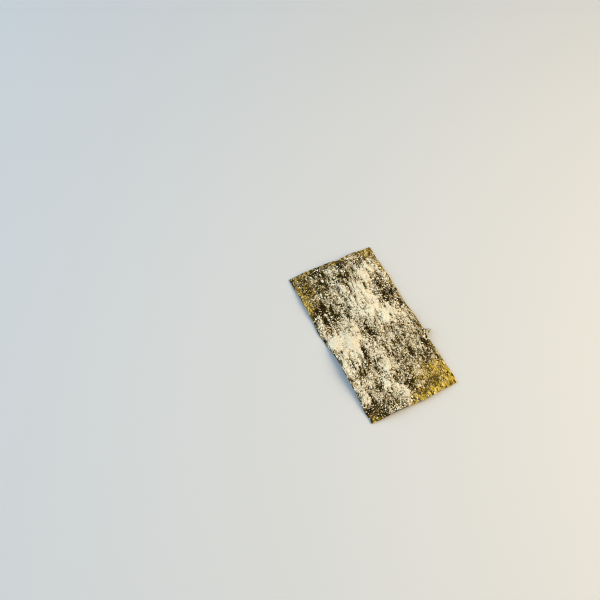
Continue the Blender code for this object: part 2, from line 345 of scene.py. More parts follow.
def soft_step(value, start, end):
    """Rises smoothly from 0 at start to 1 at end."""
    share = clamp((value - start) / (end - start))
    return share * share * (3 - 2 * share)


def length_of(name, description, default, **limits):
    """A property that holds a length."""
    return FloatProperty(
        name=name, description=description, default=default, unit="LENGTH", **limits
    )


def colour_of(name, description, default):
    """A property that holds a colour."""
    return FloatVectorProperty(name=name, description=description, default=default, subtype="COLOR")


def number_of(name, description, default):
    """A property that holds a number of grains or cuts."""
    return IntProperty(name=name, description=description, default=default, min=0)


class StripSettings(bpy.types.PropertyGroup):
    """Sizes of the strip and how it lies."""

    length: length_of("Length", "Length of the strip", 0.075, min=0.02)
    width: length_of("Width", "Width of the strip", 0.040, min=0.01)
    thickness: length_of("Thickness", "Thickness of the bare sheet", 0.00055)
    cell: length_of("Sheet Cell", "Size of the sheet's grid cells", 0.00036)
    left_far_lift: length_of("Left Far Lift", "Lift of the left side's far arch", 0.0010)
    left_near_lift: length_of("Left Near Lift", "Lift of the left side's near arch", 0.0024)
    right_lift: length_of("Right Lift", "Lift of the right side's middle", 0.0009)
    end_crown: length_of("End Crown", "Rise of the middle line at the ends", 0.0012)
    middle_crown: length_of("Middle Crown", "Rise of the middle line halfway", 0.0026)
    pucker: length_of("Pucker", "Height of the broad puckers", 0.0011)
    crinkle: length_of("Crinkle", "Height of the small crinkles", 0.0006)
    blister: length_of("Blister", "Height of the sheet's fine blisters", 0.00016)
    dark: colour_of("Seaweed", "Colour of the seaweed", (0.015, 0.0095, 0.002))
    olive: colour_of("Olive", "Colour where the sheet is thin", (0.10, 0.067, 0.018))
    gold: colour_of("Batter", "Colour of bare batter at the near end", (0.44, 0.30, 0.022))
    amber: colour_of("Browned Batter", "Colour of bare batter at the far end", (0.26, 0.158, 0.021))
    # The bright batter colour is partly the batter's own paler colour and partly painted highlight on its
    # crisp bumps
    bright: colour_of("Bright Batter", "Colour of the batter's thin crisp ridges", (0.84, 0.68, 0.19))
    toasted: colour_of("Toasted Batter", "Colour of the batter's dark hollows", (0.050, 0.026, 0.006))


class PowderSettings(bpy.types.PropertyGroup):
    """Sizes and colours of the seasoning."""

    cell: length_of("Crust Cell", "Size of the crust's coarse grid cells", 0.00090)
    cuts: number_of("Crust Cuts", "Cuts in each cell of the upper face", 4)
    sunk: length_of("Sunk", "Depth of the crust's base in the sheet", 0.00030)
    dip: length_of("Dip", "Depth of the crust's upper face in the sheet where it is bare", 0.00016)
    step: length_of("Step", "Height of the thin net of powder", 0.00026)
    rise: length_of("Rise", "Further height of the crust in a full drift", 0.00060)
    roughness: length_of("Roughness", "Height of the crust's relief", 0.00024)
    cover: FloatProperty(
        name="Cover", description="Share of the sheet covered between the drifts", default=0.34,
        min=0.0, max=1.0, subtype="FACTOR",
    )
    clumps: number_of("Clumps", "Number of the largest crumbs", 150)
    clump_small: length_of("Smallest Clump", "Radius of the smallest clump", 0.0004)
    clump_large: length_of("Largest Clump", "Radius of the largest clump", 0.0008)
    crumbs: number_of("Crumbs", "Number of smaller crumbs", 450)
    crumb_small: length_of("Smallest Crumb", "Radius of the smallest crumb", 0.00025)
    crumb_large: length_of("Largest Crumb", "Radius of the largest crumb", 0.00050)
    dust: number_of("Dust", "Number of the finest grains", 4000)
    dust_small: length_of("Smallest Dust", "Radius of the smallest speck", 0.00006)
    dust_large: length_of("Largest Dust", "Radius of the largest speck", 0.00013)
    grains: number_of("Grains", "Number of fine grains", 8500)
    grain_small: length_of("Smallest Grain", "Radius of the smallest grain", 0.00010)
    grain_large: length_of("Largest Grain", "Radius of the largest grain", 0.00030)
    cream: colour_of("Cream", "Colour of thick powder", (0.92, 0.86, 0.70))
    khaki: colour_of("Khaki", "Colour of powder where it is thin", (0.26, 0.17, 0.028))
    golden: colour_of("Golden Powder", "Colour of powder soaked with batter", (0.56, 0.39, 0.085))


class StageSettings(bpy.types.PropertyGroup):
    """The floor, the lights and the camera."""

    floor: colour_of("Floor", "Colour of the floor", (0.60, 0.60, 0.60))
    key_colour: colour_of("Key Colour", "Colour of the main light", (1.0, 0.795, 0.475))
    key_power: FloatProperty(
        name="Key Power", description="Power of the main light", default=2.63, unit="POWER"
    )
    fill_colour: colour_of("Fill Colour", "Colour of the light from the left", (0.47, 0.74, 1.0))
    fill_power: FloatProperty(
        name="Fill Power", description="Power of the light from the left", default=7.7, unit="POWER"
    )
    sky: colour_of("Sky", "Colour of the light from all around", (0.40, 0.43, 0.46))
    backdrop: colour_of("Backdrop", "Colour seen behind the floor", (0.64, 0.65, 0.65))
    filter_width: FloatProperty(
        name="Filter Width", description="Width of the pixel filter in pixels", default=0.95, min=0.5
    )
    lens: FloatProperty(name="Lens", description="Focal length in millimetres", default=50.0, unit="CAMERA")
    azimuth: FloatProperty(
        name="Azimuth", description="Direction of the camera round the strip", subtype="ANGLE",
        default=math.radians(-36.51),
    )
    elevation: FloatProperty(
        name="Elevation", description="Height of the camera above the surface", subtype="ANGLE",
        default=math.radians(60.63),
    )
    distance: length_of("Distance", "Distance of the camera from the strip", 0.3563)
    aim: FloatVectorProperty(
        name="Aim", description="Point of the floor in the middle of the picture", size=2,
        default=(-0.0211, 0.0270), unit="LENGTH",
    )


class Form:
    """The strip's form: where each place of it lies, and how much seasoning it carries."""

    def __init__(self, strip, powder):
        for name in (
            "length", "width", "thickness", "left_far_lift", "left_near_lift", "right_lift",
            "end_crown", "middle_crown", "pucker", "crinkle", "blister",
        ):
            setattr(self, name, getattr(strip, name))
        for name in ("dip", "step", "rise", "roughness"):
            setattr(self, name, getattr(powder, name))
        self.plain_cover = powder.cover
        self.shift = Vector((0.0, 0.0))
        self.shift = self.shift_to_frame()

    def flat_place(self, across, down):
        """Where a place of the sheet lies when seen from above, with the uneven cut sides."""
        x = (across - 0.5) * self.width
        y = (0.5 - down) * self.length
        side = abs(2 * across - 1) ** SIDE_FADE
        end = abs(2 * down - 1) ** END_FADE
        if across < 0.5:
            sideways = -LEFT_BULGE * bell((down - LEFT_FOOT) * self.length, LEFT_BULGE_REACH)
            seed = LEFT_SEED
        else:
            sideways = 0.0
            seed = RIGHT_SEED
        sideways += WOBBLE * wander((y, 0.0), (WOBBLE_SIZE, 1.0), seed)
        sideways += NICK * wander((y, 0.0), (NICK_SIZE, 1.0), seed + NICK_SEED_STEP)
        sideways += TOOTH * wander((y, 0.0), (TOOTH_SIZE, 1.0), seed + TOOTH_SEED_STEP) * side
        if across > 0.5:
            ear = bell((down - EAR_DOWN) * self.length, EAR_REACH)
            sideways += EAR_LENGTH * ear * side**SIDE_FADE
        seed = END_SEED + round(down)
        lengthwise = WOBBLE * wander((x, 0.0), (WOBBLE_SIZE, 1.0), seed)
        lengthwise += TOOTH * wander((x, 0.0), (TOOTH_SIZE, 1.0), seed + TOOTH_SEED_STEP) * end
        if down > 0.5:
            lengthwise -= NEAR_END_BULGE * 4 * across * (1 - across)
        return Vector((x + sideways * side, y + lengthwise * end)) + self.shift

    def shift_to_frame(self):
        """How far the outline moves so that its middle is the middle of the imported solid."""
        steps = [step / 200 for step in range(201)]
        outline = [self.flat_place(end, step) for end in (0, 1) for step in steps]
        outline += [self.flat_place(step, end) for end in (0, 1) for step in steps]
        low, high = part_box(STRIP_NODE)
        middle = [(low[axis] + high[axis]) / 2 for axis in range(2)]
        reach = [[place[axis] for place in outline] for axis in range(2)]
        return Vector(middle[axis] - (min(reach[axis]) + max(reach[axis])) / 2 for axis in range(2))

    def rest_height(self, across, down):
        """Height of the plain lower face above the surface that the strip lies on."""
        left = self.left_far_lift * hump(down, 0, LEFT_FOOT)
        left += self.left_near_lift * hump(down, LEFT_FOOT, 1)
        right = self.right_lift * hump(down, 0, 1)
        crown = self.end_crown + (self.middle_crown - self.end_crown) * hump(down, 0, 1)
        place = (across * self.width, down * self.length)
        corner = (2 * across - 1) ** 2 * (2 * down - 1) ** 2
        pucker = self.pucker * wander(place, PUCKER_SIZE, PUCKER_SEED)
        pucker += self.crinkle * wander(place, CRINKLE_SIZE, CRINKLE_SEED)
        crease = CREASE_DEPTH
        crease *= bell((across - CREASE_PLACE[0]) * self.width, CREASE_REACH[0])
        crease *= bell((down - CREASE_PLACE[1]) * self.length, CREASE_REACH[1])
        height = left * (1 - across) + right * across + crown * 4 * across * (1 - across)
        return max(0.0, height + pucker * (1 - corner) - crease)

    def frayed(self, across, down):
        """The place whose patches a place takes, so that the borders of the patches fray."""
        place = (across * self.width, down * self.length)
        sideways = PATCH_FRAY[0] * wander(place, *FRAY_NOISE)
        lengthways = PATCH_FRAY[1] * wander(place, *FINGER_NOISE)
        return across + sideways / self.width, down - lengthways / self.length

    def patches(self, table, across, down, edge=PATCH_EDGE):
        """How strongly the patches of a table cover a place, from 0 to 1."""
        clear = 1.0
        for centre_across, centre_down, half_width, half_length, lean, strength in table:
            x = (across - centre_across) * self.width * MILLIMETRES
            y = (centre_down - down) * self.length * MILLIMETRES
            turn = math.radians(lean)
            sideways = (x * math.cos(turn) + y * math.sin(turn)) / half_width
            lengthways = (y * math.cos(turn) - x * math.sin(turn)) / half_length
            clear *= 1 - strength * math.exp(-((sideways**2 + lengthways**2) ** edge))
        return 1 - clear

    def cover(self, across, down):
        """Share of the sheet that seasoning covers at a place. Over 1, it lies deep."""
        place = (across * self.width, down * self.length)
        streaks = STREAK_SHARE * (FAR_STREAKS - STREAK_FALL * down) * wander(place, *STREAK_NOISE)
        share = self.plain_cover + streaks + CLUMP_SHARE * wander(place, *CLUMP_NOISE)
        near_by = self.frayed(across, down)
        share += DRIFT_GAIN * self.patches(DRIFTS, *near_by)
        share += LACE_GAIN * self.patches(LACE_PATCHES, *near_by)
        share *= 1 - BARE_LOSS * self.patches(BARE_PATCHES_AND_FOLD_SHADE, *near_by)
        share *= 1 - GOLD_LOSS * self.patches(GOLD_PATCHES, *near_by)
        # The slits bare the dark sheet; along the crease this is painted shade
        share *= 1 - SLIT_LOSS * self.patches(SLITS_AND_CREASE_SHADE, across, down)
        return min(FULLEST_COVER, max(0.0, share))

    def gold(self, across, down):
        """How golden the bare batter is at a place."""
        return self.patches(GOLD_PATCHES, *self.frayed(across, down))

    def batter(self, across, down):
        """How much of the batter's colour the sheet shows. Below 0, hardly any fleck of it."""
        near_by = self.frayed(across, down)
        bare = self.patches(BARE_PATCHES_AND_FOLD_SHADE, *near_by)
        return self.patches(GOLD_PATCHES, *near_by) - BARE_BATTER_LOSS * bare

    def sheet_height(self, across, down):
        """Height of the bare sheet's upper face above its plain lower face."""
        place = (across * self.width, down * self.length)
        gold = self.gold(across, down)
        blisters = (BLISTER_SHARE + GOLD_BLISTER_GAIN * gold) * wander(place, *BLISTER_NOISE)
        blisters += WRINKLE_SHARE * wander(place, *WRINKLE_NOISE)
        blisters += gold * (BATTER_RISE - self.vein(across, down))
        return self.thickness + self.blister * blisters

    def vein(self, across, down):
        """How near a place is to one of the dark veins in the batter, from 0 to 1."""
        place = (across * self.width + VEIN_LEAN * down * self.length, down * self.length)
        return clamp(1 - VEIN_STEEPNESS * abs(wander(bent(place), *BATTER_NOISE)))

    def crust_height(self, across, down):
        """Height of the powder crust above the plain lower face. Where it is less than the
        sheet's own, the sheet is bare."""
        cover = self.cover(across, down)
        place = (across * self.width, down * self.length)
        line = bent(place)
        relief = NET_SHARE * ridge(line, *NET_NOISE) + CROSS_SHARE * ridge(line, *CROSS_NOISE)
        relief += BLOB_SHARE * wander(place, *BLOB_NOISE) + DUST_SHARE * wander(place, *DUST_NOISE)
        over = relief - RELIEF_MIDDLE - RELIEF_SPREAD * (0.5 - cover)
        net = soft_step(over, *NET_RANGE)
        drift = soft_step(cover, *DRIFT_RANGE)
        height = self.step * (NET_HEIGHT + NET_HEIGHT_GAIN * clamp(cover)) * net
        height += self.rise * drift - self.dip * (1 - net)
        return self.thickness + height + self.roughness * net * (1 - DRIFT_SMOOTHNESS * drift) * relief

    def point(self, across, down, height):
        """A point at a height above the plain lower face."""
        place = self.flat_place(across, down)
        return Vector((place.x, place.y, self.rest_height(across, down) + height))

    def surface(self, across, down):
        """Height of whatever is uppermost at a place, the sheet or its crust."""
        return max(self.sheet_height(across, down), self.crust_height(across, down))

    def normal(self, across, down):
        """The sheet's upward direction at a place."""
        left, right = (self.point(across + step, down, 0.0) for step in (-SLOPE_STEP, SLOPE_STEP))
        near, far = (self.point(across, down + step, 0.0) for step in (SLOPE_STEP, -SLOPE_STEP))
        return (right - left).cross(far - near).normalized()


def form_of(context):
    """The form that the scene's settings give."""
    return Form(context.scene.seaweed_strip, context.scene.seaweed_powder)


def new_object(name, data):
    """An object with its data, linked to the scene."""
    item = bpy.data.objects.new(name, data)
    bpy.context.scene.collection.objects.link(item)
    return item


def mesh_of(shape, name):
    """A mesh made from a bmesh, which is freed."""
    mesh = bpy.data.meshes.new(name)
    shape.to_mesh(mesh)
    shape.free()
    return mesh


def finish_piece(name, mesh, material):
    """Makes a mesh into a piece of the object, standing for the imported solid."""
    mesh.materials.append(material)
    piece = new_object(name, mesh)
    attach(piece, BODY)
    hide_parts(STRIP_NODE)


def finish_powder(name, mesh, powder, paleness):
    """Makes a mesh into a piece of seasoning. Paleness names the number that makes it pale."""
    finish_piece(name, mesh, powder_material(powder, name, paleness))


def slab(form, cell, cuts, insets, upper, lower, values):
    """A closed mesh over the whole strip. Its upper face has more cells than its lower one by
    the given cuts, its lower and upper faces stand in by the insets, upper and lower give the
    faces' heights, and values gives the numbers that each vertex keeps for its material."""
    shape = bmesh.new()
    columns, rows = round(form.width / cell), round(form.length / cell)
    bmesh.ops.create_grid(shape, x_segments=columns, y_segments=rows, size=0.5)
    raised = bmesh.ops.extrude_face_region(shape, geom=shape.faces[:], use_keep_orig=True)["geom"]
    raised = [item for item in raised if isinstance(item, bmesh.types.BMVert)]
    bmesh.ops.translate(shape, verts=raised, vec=(0, 0, 1))
    if cuts:
        edges = [edge for edge in shape.edges if all(vertex.co.z > 0.5 for vertex in edge.verts)]
        bmesh.ops.subdivide_edges(shape, edges=edges, cuts=cuts, use_grid_fill=True)
    layers = {name: shape.verts.layers.float.new(name) for name in values}
    for vertex in shape.verts:
        is_upper = vertex.co.z > 0.5
        inset = insets[is_upper]
        across = 0.5 + (1 - 2 * inset / form.width) * vertex.co.x
        down = 0.5 - (1 - 2 * inset / form.length) * vertex.co.y
        height = upper(across, down) if is_upper else lower(across, down)
        for name, layer in layers.items():
            vertex[layer] = values[name](across, down, height, is_upper)
        vertex.co = form.point(across, down, height)
    bmesh.ops.recalc_face_normals(shape, faces=shape.faces)
    mesh = mesh_of(shape, "slab")
    mesh.shade_smooth()
    return mesh


def rough_lumps(number, subdivisions, waves, roughness, seed_step):
    """The vertices and faces of each of a number of uneven lumps with a radius of about 1."""
    lumps = []
    for seed in (seed_step * step for step in range(number)):
        shape = bmesh.new()
        bmesh.ops.create_icosphere(shape, subdivisions=subdivisions, radius=1.0)
        for vertex in shape.verts:
            vertex.co *= 1 + roughness * noise.noise(vertex.co * waves + Vector((seed, 0, 0)))
        points = np.array([vertex.co for vertex in shape.verts])
        faces = np.array([[vertex.index for vertex in face.verts] for face in shape.faces])
        shape.free()
        lumps.append((points, faces))
    return lumps


def joined(name, lumps, places):
    """One mesh of many lumps. Each place gives the number of a lump, its matrix, how golden it is
    and how pale."""
    points, faces, gold, pale = [], [], [], []
    count = 0
    for number, matrix, golden, paleness in places:
        lump_points, lump_faces = lumps[number]
        points.append(lump_points @ np.array(matrix.to_3x3()).T + np.array(matrix.translation))
        faces.append(lump_faces + count)
        gold += [golden] * len(lump_points)
        pale += [paleness] * len(lump_points)
        count += len(lump_points)
    mesh = bpy.data.meshes.new(name)
    mesh.from_pydata(np.concatenate(points).tolist(), [], np.concatenate(faces).tolist())
    mesh.attributes.new("gold", "FLOAT", "POINT").data.foreach_set("value", gold)
    mesh.attributes.new("pale", "FLOAT", "POINT").data.foreach_set("value", pale)
    return mesh


def scattered(form, count, smallest, largest, spacing, chance, seed):
    """Places and radii of grains, the largest first, each kept clear of those before it."""
    draw = random.Random(seed)
    cell = 2 * largest
    near = {}
    found = []
    for _ in range(count * TRIES_PER_GRAIN):
        if len(found) == count:
            break
        radius = largest * (smallest / largest) ** ((len(found) / count) ** RADIUS_POWER)
        across, down = draw.uniform(*GRAIN_ACROSS), draw.uniform(*GRAIN_DOWN)
        if draw.random() > chance(across, down):
            continue
        place = Vector((across * form.width, down * form.length))
        column, row = int(place.x / cell), int(place.y / cell)
        around = [near.get((column + i, row + j), ()) for i in (-1, 0, 1) for j in (-1, 0, 1)]
        crowded = any(
            (place - other).length < spacing * (radius + other_radius)
            for group in around
            for other, other_radius in group
        )
        if not crowded:
            near.setdefault((column, row), []).append((place, radius))
            found.append((across, down, radius))
    return found


def clump_places(form, powder):
    """Places and radii of the largest crumbs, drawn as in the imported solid."""
    draw = random.Random(CRUMB_SEED)
    found = []
    for _ in range(CRUMB_TRIES):
        if len(found) == powder.clumps:
            break
        share = len(found) / powder.clumps
        radius = powder.clump_large + (powder.clump_small - powder.clump_large) * share
        across = draw.uniform(CRUMB_MARGIN, 1 - CRUMB_MARGIN)
        down = draw.uniform(CRUMB_MARGIN, 1 - CRUMB_MARGIN)
        chance = BARE_CRUMB_SHARE + (1 - BARE_CRUMB_SHARE) * form.patches(DRIFTS, across, down, 1)
        if draw.random() > chance:
            continue
        place = Vector(((across - 0.5) * form.width, (0.5 - down) * form.length))
        crowded = any(
            (place - other).length < CRUMB_SPACING * (radius + other_radius) / 2
            for other, other_radius, _, _ in found
        )
        if not crowded:
            found.append((place, radius, across, down))
    return [(across, down, radius) for _, radius, across, down in found]


def lump_matrix(form, across, down, lift, turn, size):
    """The matrix of a lump of a given size that lies on the strip, lifted and turned there."""
    normal = form.normal(across, down)
    centre = form.point(across, down, form.surface(across, down)) + normal * lift
    upright = normal.to_track_quat("Z", "Y").to_matrix().to_4x4()
    turned = upright @ Matrix.Rotation(turn, 4, "Z")
    return Matrix.Translation(centre) @ turned @ Matrix.Diagonal((*size, 1.0))


def clump_matrices(form, powder, lump_count):
    """The number of the lump, the matrix, how golden it is and how pale for each clump."""
    draw = random.Random(CRUMB_SEED + 1)
    for count, (across, down, radius) in enumerate(clump_places(form, powder)):
        high = CRUMB_FLATNESS * radius
        size = (radius, radius * draw.uniform(*CRUMB_LENGTH_RANGE), high)
        turn = draw.uniform(0, math.tau)
        matrix = lump_matrix(form, across, down, high - CRUMB_BITE, turn, size)
        golden = CRUMB_GOLD * form.gold(across, down)
        yield count % lump_count, matrix, golden, CRUMB_PALENESS + form.cover(across, down)


def lump_matrices(form, places, lump_count, lengths, heights, lean, bite, seed):
    """The number of the lump, the matrix, how golden it is and how pale for each place. The
    lumps lie along the strip, but for the lean."""
    draw = random.Random(seed)
    for across, down, radius in places:
        long, high = draw.uniform(*lengths), draw.uniform(*heights)
        size = (radius, radius * long, radius * high)
        lift = radius * (high - bite)
        matrix = lump_matrix(form, across, down, lift, draw.gauss(0, lean), size)
        golden = form.gold(across, down) * draw.uniform(*GOLD_SPREAD)
        pale = draw.uniform(*PALE_SPREAD) + form.cover(across, down)
        yield draw.randrange(lump_count), matrix, golden, pale


def add_grains(name, form, powder, lumps, places, lengths, heights, lean, bite, seed):
    """Lays lumps at the places, as one piece of powder. Lengths and heights are the ranges of
    their sizes in radii, and bite is how many radii of each are sunk."""
    matrices = lump_matrices(form, places, len(lumps), lengths, heights, lean, bite, seed)
    finish_powder(name, joined(name, lumps, matrices), powder, "pale")


def new_material(name):
    """A material with an empty node tree but for its output and shader."""
    material = bpy.data.materials.new(name)
    material.use_nodes = True
    tree = material.node_tree
    return material, tree, tree.nodes["Principled BSDF"]


def fill_inputs(tree, node, inputs):
    """Gives each input of a node another node's output or a value."""
    for key, value in inputs.items():
        if isinstance(value, bpy.types.NodeSocket):
            tree.links.new(value, node.inputs[key])
        else:
            node.inputs[key].default_value = value


def add_node(tree, kind, inputs, **settings):
    """A node with its settings and inputs."""
    node = tree.nodes.new(kind)
    for name, value in settings.items():
        setattr(node, name, value)
    fill_inputs(tree, node, inputs)
    return node


def noise_node(tree, vector, scale, detail, roughness=0.5):
    """A noise texture's value."""
    inputs = {"Vector": vector, "Scale": scale, "Detail": detail, "Roughness": roughness}
    return add_node(tree, "ShaderNodeTexNoise", inputs).outputs["Fac"]


def range_node(tree, value, low, high):
    """Spreads a value from low..high to 0..1."""
    inputs = {"Value": value, "From Min": low, "From Max": high}
    node = add_node(tree, "ShaderNodeMapRange", inputs, interpolation_type="SMOOTHSTEP")
    return node.outputs["Result"]


def math_node(tree, operation, first, second):
    """A math node on two sockets or numbers."""
    node = add_node(tree, "ShaderNodeMath", {0: first, 1: second}, operation=operation)
    return node.outputs["Value"]


def added_share(tree, base, value, share):
    """The base with a share of a value added to it."""
    return math_node(tree, "ADD", base, math_node(tree, "MULTIPLY", value, share))


def vector_node(tree, operation, output, first, second=BLACK):
    """A vector math node on a socket and a vector."""
    node = add_node(tree, "ShaderNodeVectorMath", {0: first, 1: second}, operation=operation)
    return node.outputs[output]


def mix_node(tree, factor, first, second, blend="MIX"):
    """A colour mix of two sockets or colours."""
    pair = [
        value if isinstance(value, bpy.types.NodeSocket) else (*value, 1.0) for value in (first, second)
    ]
    inputs = {"Factor": factor, 6: pair[0], 7: pair[1]}
    return add_node(tree, "ShaderNodeMix", inputs, data_type="RGBA", blend_type=blend).outputs[2]


def object_place(tree):
    """Object coordinates in millimetres."""
    source = tree.nodes.new("ShaderNodeTexCoord")
    return vector_node(tree, "MULTIPLY", "Vector", source.outputs["Object"], (MILLIMETRES,) * 3)


def attribute_value(tree, name):
    """A number that each vertex of the piece keeps."""
    return add_node(tree, "ShaderNodeAttribute", {}, attribute_name=name).outputs["Fac"]


def fine_grain_group():
    """The grain of powder and of crisp seaweed: a mask of light and dark specks and a bumpy
    normal. Place is in millimetres."""
    name = "fine_grain"
    if name in bpy.data.node_groups:
        return bpy.data.node_groups[name]
    group = bpy.data.node_groups.new(name, "ShaderNodeTree")
    sockets = group.interface
    sockets.new_socket("Place", in_out="INPUT", socket_type="NodeSocketVector")
    for socket_name in ("Grain Size", "Bump"):
        socket = sockets.new_socket(socket_name, in_out="INPUT", socket_type="NodeSocketFloat")
        socket.default_value = 0.3
    sockets.new_socket("Specks", in_out="OUTPUT", socket_type="NodeSocketFloat")
    sockets.new_socket("Normal", in_out="OUTPUT", socket_type="NodeSocketVector")
    given = group.nodes.new("NodeGroupInput")
    result = group.nodes.new("NodeGroupOutput")
    scale = math_node(group, "DIVIDE", 1.0, given.outputs["Grain Size"])
    grain = noise_node(group, given.outputs["Place"], scale, detail=3.0, roughness=0.62)
    inputs = {"Strength": given.outputs["Bump"], "Distance": 0.0001, "Height": grain}
    bump = add_node(group, "ShaderNodeBump", inputs)
    group.links.new(range_node(group, grain, low=0.3, high=0.7), result.inputs["Specks"])
    group.links.new(bump.outputs["Normal"], result.inputs["Normal"])
    return group


def place_grain(tree, place, grain_size, bump):
    """The fine grain group with its own values in a material."""
    inputs = {"Grain Size": grain_size, "Bump": bump, "Place": place}
    node = add_node(tree, "ShaderNodeGroup", inputs, node_tree=fine_grain_group())
    return node.outputs["Specks"], node.outputs["Normal"]


def seaweed_material(strip):
    """Near-black crisp seaweed that turns olive and golden where bare batter shows."""
    material, tree, shader = new_material("crisp_seaweed")
    place = object_place(tree)
    gold = attribute_value(tree, "gold")
    specks, normal = place_grain(tree, place, grain_size=0.45, bump=0.6)
    blotches = noise_node(tree, place, scale=0.45, detail=3.0)
    flecks = added_share(tree, added_share(tree, blotches, specks, 0.20), gold, 0.35)
    leaf = mix_node(tree, range_node(tree, flecks, low=0.52, high=0.86), strip.dark, strip.olive)
    batter = mix_node(tree, attribute_value(tree, "far"), strip.gold, strip.amber)
    lengthways = vector_node(tree, "MULTIPLY", "Vector", place, STREAK_STRETCH)
    streaks = noise_node(tree, lengthways, scale=0.9, detail=3.0, roughness=0.62)
    batter = mix_node(tree, range_node(tree, streaks, low=0.35, high=0.51), strip.toasted, batter)
    # Where the streaks are highest, the bright batter colour: partly paler batter, partly painted highlight
    batter = mix_node(tree, range_node(tree, streaks, low=0.52, high=0.65), batter, strip.bright)
    vein = range_node(tree, attribute_value(tree, "vein"), low=0.45, high=0.90)
    batter = mix_node(tree, vein, batter, strip.toasted)
    patchy = noise_node(tree, place, scale=0.75, detail=3.0, roughness=0.6)
    level = added_share(tree, gold, math_node(tree, "SUBTRACT", patchy, 0.5), 2.6)
    batter_share = range_node(tree, level, low=0.20, high=0.70)
    fill_inputs(tree, shader, {
        "Base Color": mix_node(tree, batter_share, leaf, batter), "Normal": normal,
        "Roughness": 0.55, "Specular IOR Level": 0.06, "Specular Tint": (1.0, 0.82, 0.55, 1.0),
    })
    return material


def powder_material(powder, name, paleness):
    """Matt powder, khaki or cream by one of the piece's numbers and golden where it lies on
    batter."""
    material, tree, shader = new_material(name)
    place = object_place(tree)
    specks, normal = place_grain(tree, place, grain_size=0.28, bump=0.5)
    tone = noise_node(tree, place, scale=1.6, detail=4.0, roughness=0.65)
    shaded = [share * shade for share, shade in zip(powder.cream, SHADED_CREAM)]
    cream = mix_node(tree, range_node(tree, tone, low=0.38, high=0.62), powder.cream, shaded)
    uneven = math_node(tree, "SUBTRACT", specks, 0.5)
    pale = added_share(tree, attribute_value(tree, paleness), uneven, 0.25)
    colour = mix_node(tree, range_node(tree, pale, low=0.10, high=1.00), powder.khaki, cream)
    # Painted shade: a warm tint on the drift at the left side takes away the blue of the cool light on its
    # slopes
    distance = vector_node(tree, "DISTANCE", "Value", place, PAINTED_SHADE_PLACE)
    painted_shade = range_node(tree, distance, *PAINTED_SHADE_REACH)
    colour = mix_node(tree, painted_shade, colour, PAINTED_SHADE_TINT, "MULTIPLY")
    golden = range_node(tree, attribute_value(tree, "gold"), low=0.1, high=0.8)
    fill_inputs(tree, shader, {
        "Base Color": mix_node(tree, golden, colour, powder.golden), "Normal": normal,
        "Roughness": 0.85, "Specular IOR Level": 0.05,
    })
    return material


class SEAWEED_OT_sheet(bpy.types.Operator):
    """Add the crisp seaweed sheet with its batter"""

    bl_idname = "seaweed.sheet"
    bl_label = "Seaweed Sheet"

    def execute(self, context):
        strip = context.scene.seaweed_strip
        form = form_of(context)
        values = {
            # The lower face keeps most of the batter colour, partly as painted light on the sheet's shaded
            # side faces
            "gold": lambda across, down, height, is_upper: (
                form.batter(across, down) * (1.0 if is_upper else UNDERSIDE_BATTER_AND_PAINTED_LIGHT)
            ),
            "vein": lambda across, down, height, is_upper: form.vein(across, down),
            "far": lambda across, down, height, is_upper: clamp(FAR_SHARE - FAR_FALL * down),
        }
        mesh = slab(
            form, strip.cell, cuts=0, insets=SHEET_INSETS,
            upper=form.sheet_height, lower=lambda across, down: 0.0, values=values,
        )
        mesh.set_sharp_from_angle(angle=SHARP_ANGLE)
        finish_piece("seaweed_sheet", mesh, seaweed_material(strip))
        return {"FINISHED"}


class SEAWEED_OT_crust(bpy.types.Operator):
    """Add the crust of powder that lies in drifts and in a lacy net on the sheet"""

    bl_idname = "seaweed.crust"
    bl_label = "Powder Crust"

    def execute(self, context):
        powder = context.scene.seaweed_powder
        form = form_of(context)
        base = form.thickness - powder.sunk
        values = {
            "depth": lambda across, down, height, is_upper: clamp(
                (height - form.thickness) / PALEST_HEIGHT
            ),
            "gold": lambda across, down, height, is_upper: form.gold(across, down),
        }
        mesh = slab(
            form, powder.cell, cuts=powder.cuts, insets=CRUST_INSETS,
            upper=form.crust_height, lower=lambda across, down: base, values=values,
        )
        finish_powder("powder_crust", mesh, powder, "depth")
        return {"FINISHED"}


class SEAWEED_OT_clumps(bpy.types.Operator):
    """Add the largest crumbs of seasoning"""

    bl_idname = "seaweed.clumps"
    bl_label = "Clumps"

    def execute(self, context):
        powder = context.scene.seaweed_powder
        form = form_of(context)
        lumps = rough_lumps(8, subdivisions=2, waves=2.0, roughness=0.8, seed_step=4.3)
        mesh = joined("powder_clumps", lumps, clump_matrices(form, powder, len(lumps)))
        finish_powder("powder_clumps", mesh, powder, "pale")
        return {"FINISHED"}


class SEAWEED_OT_crumbs(bpy.types.Operator):
    """Add the smaller crumbs of seasoning"""

    bl_idname = "seaweed.crumbs"
    bl_label = "Crumbs"

    def execute(self, context):
        powder = context.scene.seaweed_powder
        form = form_of(context)
        places = scattered(
            form, powder.crumbs, powder.crumb_small, powder.crumb_large, spacing=0.75,
            chance=lambda across, down: CRUMB_CHANCE[0] + CRUMB_CHANCE[1] * form.cover(across, down),
            seed=21,
        )
        lumps = rough_lumps(8, subdivisions=2, waves=2.2, roughness=0.9, seed_step=3.1)
        add_grains(
            "powder_crumbs", form, powder, lumps, places,
            lengths=(1.0, 1.7), heights=(0.5, 0.8), lean=1.5, bite=0.55, seed=22,
        )
        return {"FINISHED"}


